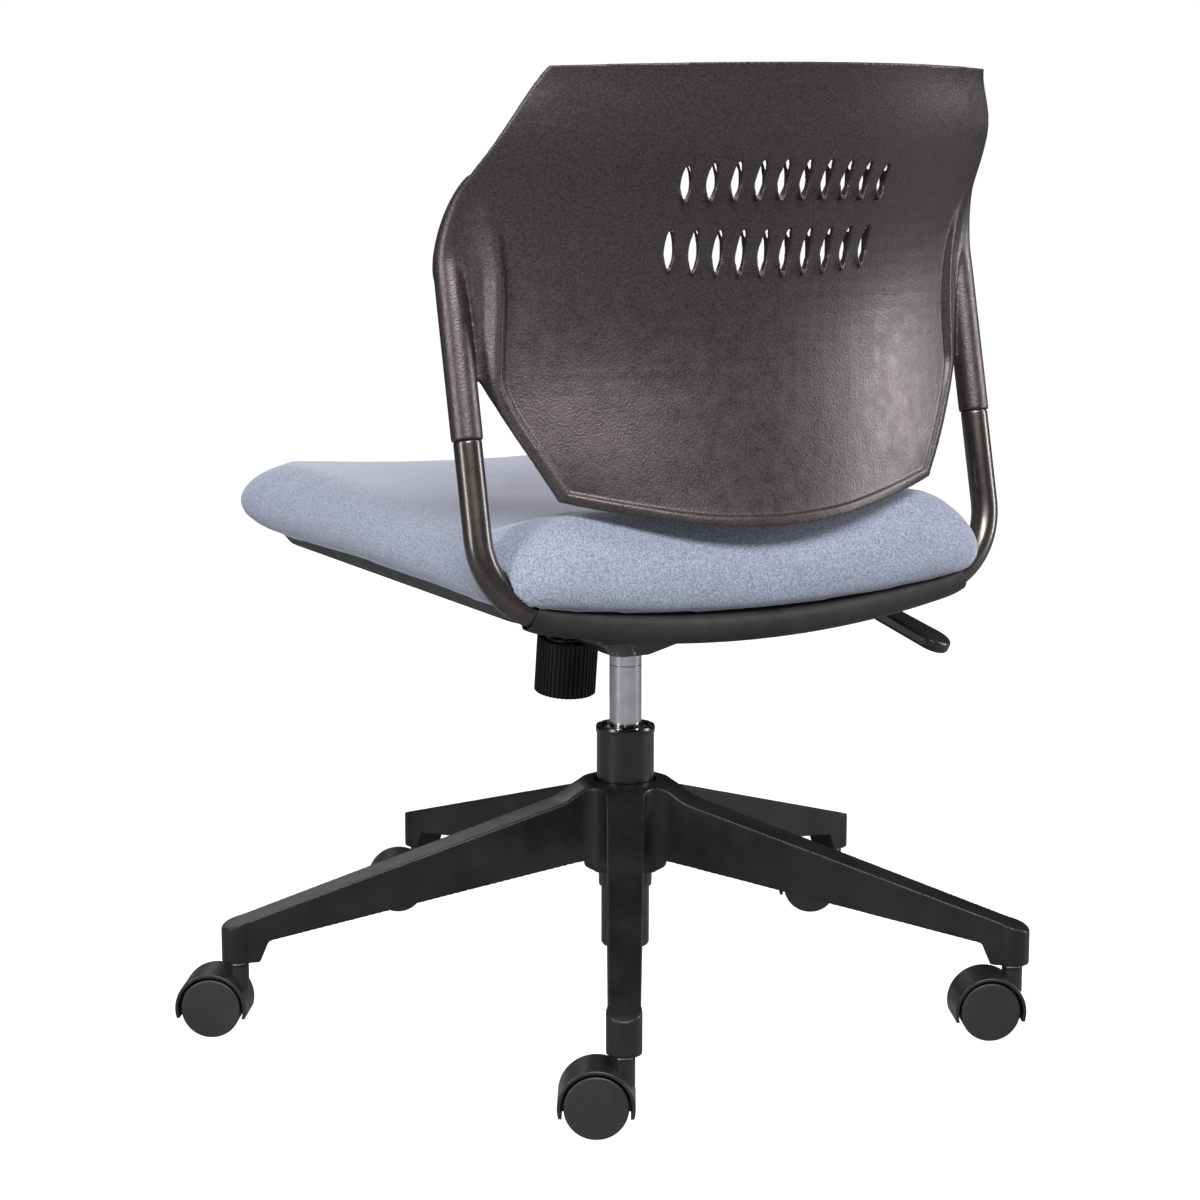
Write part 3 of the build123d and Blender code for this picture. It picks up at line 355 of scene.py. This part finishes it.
slot_of = {entry["node"]: entry["material_slot"] for entry in frame["record"]["subparts"]}
body_of_node = {node: body for body, nodes in frame["record"]["behaviour"]["bodies"].items()
                for node in nodes}


def dress(piece, slot):
    """Give a piece one look, whatever slots its mesh came with."""
    piece.data.materials.clear()
    piece.data.materials.append(LOOKS[slot])


for node, cad_piece in frame["nodes"].items():
    for index in range(len(cad_piece.material_slots)):
        cad_piece.material_slots[index].material = LOOKS[slot_of[node]]


def stand_for(piece, node, *more_nodes):
    """The piece takes over from CAD nodes: it moves and looks as the first of them, and all of them are
    hidden.
    """
    dress(piece, slot_of[node])
    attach(piece, body_of_node[node])
    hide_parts(node, *more_nodes)


# ======================================================================= moulded base
leg_base = remesh(copy_of("star_base", "leg_base"), VOXEL, 6)
stand_for(leg_base, "star_base")

# ======================================================================= back tube
bent_tube = remesh(copy_of("back_tube", "bent_tube"), VOXEL, 6)
stand_for(bent_tube, "back_tube")

# ======================================================================= back shell
# crest of the raised border as seen from behind: across, height, rise, width of its inner slope
LOWER_CREST = [(0, 0.4575, 0.0020, 0.0018), (0.060, 0.4610, 0.0020, 0.0018), (0.116, 0.4705, 0.0020, 0.0018),
               (0.1640, 0.4805, 0.0024, 0.0018)]
SIDE_CREST = [(0.1640, 0.4805, 0.0024, 0.0018), (0.1890, 0.5260, 0.0032, 0.0022),
              (0.2040, 0.5600, 0.0046, 0.0030), (0.2045, 0.5850, 0.0056, 0.0036),
              (0.2030, 0.6200, 0.0060, 0.0044), (0.2040, 0.6500, 0.0054, 0.0052),
              (0.2085, 0.6740, 0.0038, 0.0060), (0.2150, 0.6940, 0.0018, 0.0070),
              (0.2240, 0.7100, 0.0, 0.0070)]
BORDER_FALL = 0.013        # how far past the crest the border has sloped down again
SHELL_ARC = 0.400          # mean radius of the shell in plan
BOSS_FROM_X = 0.205        # the bosses lie beyond this and over BOSS_FROM_Z
BOSS_FROM_Z = 0.630


def through(rows, steps=6):
    """Rows of values along a smooth curve through the given rows."""
    rows = np.array(rows, float)
    ends = np.vstack([2 * rows[0] - rows[1], rows, 2 * rows[-1] - rows[-2]])
    curve = []
    for number in range(len(rows) - 1):
        before, start, end, after = ends[number:number + 4]
        for t in np.arange(steps) / steps:
            curve.append(start + 0.5 * t * ((end - before) + t * (2 * before - 5 * start + 4 * end - after)
                                            + t * t * (3 * start - before - 3 * end + after)))
    return curve + [rows[-1]]


def raise_border(piece):
    """Lift the rear face into the border that runs round the shell's lower edge and up beside the bosses."""
    points = coordinates(piece)
    across, height = np.abs(points[:, 0]), points[:, 2]
    lean = np.clip(points[:, 0] / SHELL_ARC, -0.9, 0.9)
    outward = np.column_stack([lean, np.sqrt(1 - lean ** 2), np.zeros(len(points))])
    faces_rear = smooth_step((normals(piece) * outward).sum(1), 0.0, 0.5)
    nearest = np.full(len(points), np.inf)
    rise = np.zeros(len(points))
    slope = np.full(len(points), 0.002)
    beyond = np.zeros(len(points))
    crest = through(LOWER_CREST) + through(SIDE_CREST)[1:]
    for (x0, z0, rise0, slope0), (x1, z1, rise1, slope1) in zip(crest, crest[1:]):
        run_x, run_z = x1 - x0, z1 - z0
        length = hypot(run_x, run_z)
        along = np.clip(((across - x0) * run_x + (height - z0) * run_z) / length ** 2, 0, 1)
        off_x, off_z = across - x0 - along * run_x, height - z0 - along * run_z
        distance = np.hypot(off_x, off_z)
        better = distance < nearest
        nearest[better] = distance[better]
        rise[better] = (rise0 + along * (rise1 - rise0))[better]
        slope[better] = (slope0 + along * (slope1 - slope0))[better]
        beyond[better] = ((off_x * run_z - off_z * run_x) / length)[better]
    climb = smooth_step(beyond, -slope, 0 * slope)
    fall = 1 - 0.85 * smooth_step(beyond, 0.001, BORDER_FALL)
    boss = 1 - smooth_step(across, 0.2185, 0.2260)
    lift = rise * climb * fall * faces_rear * boss
    set_coordinates(piece, points + outward * lift[:, None])


def soften_bosses(piece, passes):
    """Melt the tops of the screw bosses into the shell's edge, and take the kinks out of the border."""
    points = coordinates(piece)
    weight = (smooth_step(np.abs(points[:, 0]), BOSS_FROM_X, BOSS_FROM_X + 0.015)
              * smooth_step(points[:, 2], BOSS_FROM_Z, BOSS_FROM_Z + 0.03)
              * (1 - smooth_step(points[:, 2], 0.735, 0.765)))
    group = piece.vertex_groups.new(name="bosses")
    for level in range(1, 11):
        members = np.flatnonzero((weight > (level - 1) / 10) & (weight <= level / 10)).tolist()
        if members:
            group.add(members, level / 10, "REPLACE")
    melt = piece.modifiers.new("melt", "SMOOTH")
    melt.vertex_group = "bosses"
    melt.factor = 0.5
    melt.iterations = passes
    settle = piece.modifiers.new("settle", "SMOOTH")
    settle.iterations = 2
    apply_modifiers(piece)


back_panel = remesh(copy_of("back_shell", "back_panel"), VOXEL, 5)
raise_border(back_panel)
soften_bosses(back_panel, 60)
back_panel.data.shade_smooth()
stand_for(back_panel, "back_shell")

# ======================================================================= cushion
def frame_y(z):
    """Y of the back tube's leaning plane at height z."""
    return JOINT_Y + (JOINT_Z - z) * LEG_LEAN


def tube_path():
    """Points along the back tube's centre line, from one upright over the low run to the other."""
    stretch = hypot(1, LEG_LEAN)
    bend_x = LEG_X - BEND_R
    bend_up = LOW_R - sqrt((LOW_R - BEND_R) ** 2 - bend_x ** 2)
    low_turn = asin(bend_x / (LOW_R - BEND_R))
    half = []
    for turn in np.linspace(0, low_turn, 40):
        half.append((LOW_R * sin(turn), LOW_R - LOW_R * cos(turn)))
    for turn in np.linspace(low_turn, pi / 2, 24)[1:]:
        half.append((bend_x + BEND_R * sin(turn), bend_up - BEND_R * cos(turn)))
    for rise in np.linspace(0, 0.15, 30)[1:]:
        half.append((LEG_X, bend_up + rise))
    points = []
    for across, up in [(-a, u) for a, u in reversed(half[1:])] + half:
        z = SAG_Z + up / stretch
        points.append((across, frame_y(z), z))
    return np.array(points)


def seat_ring(inset, corner_steps=14, side_steps=26):
    """Closed outline of the seat in plan, drawn in by inset: a trapezoid with round corners."""
    def half_width(y):
        return HALF_REAR + (HALF_FRONT - HALF_REAR) * (SEAT_REAR - y) / (SEAT_REAR - SEAT_FRONT)
    corners = [(1, SEAT_REAR, REAR_CORNER, 0), (-1, SEAT_REAR, REAR_CORNER, 1),
               (-1, SEAT_FRONT, FRONT_CORNER, 2), (1, SEAT_FRONT, FRONT_CORNER, 3)]
    arcs = []
    for side, edge, radius, quarter in corners:
        inward = -1 if edge > 0 else 1
        centre = np.array([side * (half_width(edge + inward * radius) - radius), edge + inward * radius])
        reach = max(radius - inset, 0.004)
        shift = max(inset - radius + 0.004, 0)
        centre = centre - shift * np.array([side, -inward])
        turns = np.linspace(quarter * pi / 2, (quarter + 1) * pi / 2, corner_steps)
        arcs.append(centre + reach * np.stack([np.cos(turns), np.sin(turns)], 1))
    ring = []
    for number, arc in enumerate(arcs):
        ring.extend(arc)
        onward = arcs[(number + 1) % 4][0]
        for step in range(1, side_steps):
            ring.append(arc[-1] + (onward - arc[-1]) * step / side_steps)
    return np.array(ring)


def tuck_height(x, y):
    """Lower edge of the cushion: along the seat's slope, up a little at the front, down at the rear."""
    along = (TUCK_Z - SEAT_SLOPE * y - TUCK_DROP - TUCK_SIDE_DROP * smooth_step(-y, 0.0, 0.22)
             + TUCK_NOSE_LIFT * smooth_step(-y, 0.2, 0.29))
    rear = TUCK_REAR_Z + 0.017 * (x / 0.205) ** 2
    return along + (np.minimum(rear, along) - along) * smooth_step(y, 0.19, 0.222)


def crown_height(x, y):
    """Top of the cushion: a shallow saddle, a raised roll at the rear and a shallow crease in front of it.
    """
    level = CROWN_Z - 0.004 * smooth_step(y, -0.1, 0.1)
    saddle = SADDLE_RISE * np.clip(np.abs(x) / 0.215, 0, 1) ** 2 * (1 - 0.9 * smooth_step(y, -0.22, 0.12))
    roll = ROLL_RISE * np.exp(-((y - ROLL_Y) / 0.036) ** 2)
    crease = -0.002 * np.exp(-((y - CREASE_Y) / 0.022) ** 2)
    return level + saddle + roll + crease


def ear_height(x, y):
    """Limit on the top's height over each corner, which rounds off more softly than the sides do."""
    from_ear = EAR_REACH - (np.abs(x) * 0.8702 + y * 0.4622)
    ear_share = 1 - np.clip(from_ear / EAR_SHOULDER, 0, 1)
    ear_limit = EAR_LOW_Z + 0.057 * np.sqrt(1 - ear_share ** 2)
    from_nose = NOSE_REACH - (np.abs(x) * 0.700 - y * 0.714)
    nose_share = 1 - np.clip(from_nose / NOSE_SHOULDER, 0, 1)
    nose_limit = NOSE_LOW_Z + 0.046 * np.sqrt(1 - nose_share ** 2)
    over_nose = np.where((from_nose < NOSE_SHOULDER) & (y < 0), nose_limit, 1.0)
    return np.where((from_ear < EAR_SHOULDER) & (y > 0), ear_limit, over_nose)


def cushion_form(name, shrink):
    """Closed crowned form of the cushion, pulled in by shrink all over."""
    rings = []
    for height in (0.3, 0.7, 1.0):
        # underside, from the middle out to the tuck
        ring = seat_ring(0.034 + (1 - height) * 0.2)
        z = TUCK_Z - SEAT_SLOPE * ring[:, 1] + 0.0015
        rings.append(np.column_stack([ring, z + shrink]))
    edge = seat_ring(TUCK_INSET + shrink)
    rings.append(np.column_stack([edge, tuck_height(*edge.T) + shrink]))
    for step in range(1, 7):
        # lower wall: swells out from the tuck to the widest line
        turn = step / 6 * pi / 2
        ring = seat_ring(TUCK_INSET * (1 - sin(turn)) + shrink)
        low = tuck_height(*ring.T)
        rings.append(np.column_stack([ring, low + shrink + BULGE * (1 - cos(turn))]))
    for step in range(1, 15):
        # upper wall and shoulder: rounds over to the crown
        turn = step / 14 * pi / 2
        ring = seat_ring(shrink + SHOULDER * (1 - cos(turn)))
        low = tuck_height(*ring.T) + BULGE
        high = low + (crown_height(*ring.T) - low) * sin(turn)
        rings.append(np.column_stack([ring, np.minimum(high, ear_height(*ring.T)) - shrink * sin(turn)]))
    for inset in np.linspace(SHOULDER + 0.008, 0.222, 22):
        ring = seat_ring(inset + shrink)
        high = np.minimum(crown_height(*ring.T), ear_height(*ring.T))
        rings.append(np.column_stack([ring, high - shrink]))
    count = len(rings[0])
    points = np.concatenate(rings)
    faces = [tuple(range(count))[::-1]]
    for ring_number in range(len(rings) - 1):
        start = ring_number * count
        for i in range(count):
            j = (i + 1) % count
            faces.append((start + i, start + j, start + count + j, start + count + i))
    faces.append(tuple(range(len(points) - count, len(points))))
    return mesh_piece(name, points, faces)


def puff(piece, cap, pressure=4.0, frames=20):
    """Blow the piece up a little as cloth and keep at most cap of each point's move."""
    rest = coordinates(piece)
    cloth = piece.modifiers.new("cloth", "CLOTH")
    cloth.settings.use_pressure = True
    cloth.settings.uniform_pressure_force = pressure
    cloth.settings.effector_weights.gravity = 0
    cloth.settings.quality = 5
    scene = bpy.context.scene
    for moment in range(1, frames + 1):
        scene.frame_set(moment)
    evaluated = piece.evaluated_get(bpy.context.evaluated_depsgraph_get())
    blown = np.array([v.co for v in evaluated.data.vertices], float)
    piece.modifiers.clear()
    scene.frame_set(1)
    moved = blown - rest
    size = np.linalg.norm(moved, axis=1, keepdims=True)
    set_coordinates(piece, rest + moved * np.minimum(1, cap / np.maximum(size, 1e-9)))


def notch_for_tube(piece, path):
    """Draw the piece in to the inner side of the tube and its sleeve, with a dimple to each side of them."""
    points = coordinates(piece)
    stretch = hypot(1, LEG_LEAN)
    across = points[:, 0]
    up = ((points[:, 2] - SAG_Z) - LEG_LEAN * (points[:, 1] - frame_y(SAG_Z))) / stretch
    aside = ((points[:, 1] - frame_y(SAG_Z)) + LEG_LEAN * (points[:, 2] - SAG_Z)) / stretch
    path_up = (path[:, 2] - SAG_Z) * stretch
    nearest = np.full(len(points), np.inf)
    inside = np.zeros(len(points))
    inward = np.zeros((len(points), 2))
    for i in range(len(path) - 1):
        run = np.array([path[i + 1, 0] - path[i, 0], path_up[i + 1] - path_up[i]])
        run /= max(hypot(*run), 1e-9)
        off = np.column_stack([across - path[i, 0], up - path_up[i]])
        distance = np.hypot(*off.T)
        better = distance < nearest
        nearest[better] = distance[better]
        normal = np.array([-run[1], run[0]])
        inside[better] = (off @ normal)[better]
        inward[better] = normal
    bar = np.where(np.abs(across) < MOUTH_X, SLEEVE_R, TUBE_R) + 0.0008
    beside = np.abs(aside) - bar
    need = np.where(beside < 0, np.sqrt(np.maximum(bar ** 2 - aside ** 2, 0)), -beside * 1.5)
    short = np.clip(need - inside, 0, None) * (nearest < 0.04)
    moved_across, moved_up = (inward * short[:, None]).T
    points[:, 0] += moved_across
    points[:, 2] += moved_up / stretch
    points[:, 1] -= moved_up * LEG_LEAN / stretch
    set_coordinates(piece, points)


cushion = remesh(cushion_form("cushion", 0.0), CUSHION_VOXEL, 2)
puff(cushion, 0.003)
finer = cushion.modifiers.new("finer", "SUBSURF")
finer.levels = finer.render_levels = 1
apply_modifiers(cushion)
notch_for_tube(cushion, tube_path())
cushion.data.shade_smooth()
stand_for(cushion, "seat_cover", "seat_foam")

# ======================================================================= tension spring
coil = copy_of("tension_spring", "coil")
coil.data.shade_smooth()
stand_for(coil, "tension_spring")
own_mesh(coil)

# ======================================================================= stage
def studio():
    """Pale floor, white surroundings and soft lamps round the chair."""
    low, high = cad_box
    middle = (Vector(low) + Vector(high)) / 2
    floor = mesh_piece("floor", [(-12, -12, 0), (12, -12, 0), (12, 12, 0), (-12, 12, 0)], [(0, 1, 2, 3)])
    pale = Look("pale_floor", Base_Color=(FLOOR_TONE, FLOOR_TONE, FLOOR_TONE, 1), Roughness=0.9,
                Specular_IOR_Level=0.1)
    shown = pale.node("ShaderNodeMath", Value=pale.node("ShaderNodeLightPath").outputs["Is Camera Ray"])
    shown.operation = "MULTIPLY"
    shown.inputs[1].default_value = FLOOR_GLOW
    pale.join(shown.outputs["Value"], pale.shader.inputs["Emission Strength"])
    pale.shader.inputs["Emission Color"].default_value = (1, 1, 1, 1)
    floor.data.materials.append(pale.material)

    world = bpy.data.worlds.new("studio")
    bpy.context.scene.world = world
    world.use_nodes = True
    sky = world.node_tree
    glow = sky.nodes["Background"]
    glow.inputs["Color"].default_value = (1, 1, 1, 1)
    seen = sky.nodes.new("ShaderNodeLightPath").outputs["Is Camera Ray"]
    strength = sky.nodes.new("ShaderNodeMapRange")
    sky.links.new(seen, strength.inputs["Value"])
    strength.inputs["To Min"].default_value = SKY_LIGHT
    strength.inputs["To Max"].default_value = 1.0
    sky.links.new(strength.outputs["Result"], glow.inputs["Strength"])

    for name, at, (wide, tall), watts in LAMPS:
        lamp = bpy.data.lights.new(name, "AREA")
        lamp.shape = "RECTANGLE"
        lamp.size, lamp.size_y = wide, tall
        lamp.energy = watts
        holder = link(bpy.data.objects.new(name, lamp))
        holder.location = at
        holder.rotation_euler = (middle - Vector(at)).to_track_quat("-Z", "Y").to_euler()


def take_view():
    """Camera at the viewing angle of the object's picture."""
    lens = bpy.data.cameras.new("view")
    lens.lens = LENS_MM
    camera = link(bpy.data.objects.new("view", lens))
    camera.location = CAMERA_AT
    camera.rotation_euler = Vector(CAMERA_LOOKS).to_track_quat("-Z", "Y").to_euler()
    bpy.context.scene.camera = camera


take_view()
studio()
bpy.context.scene.view_settings.view_transform = "Standard"
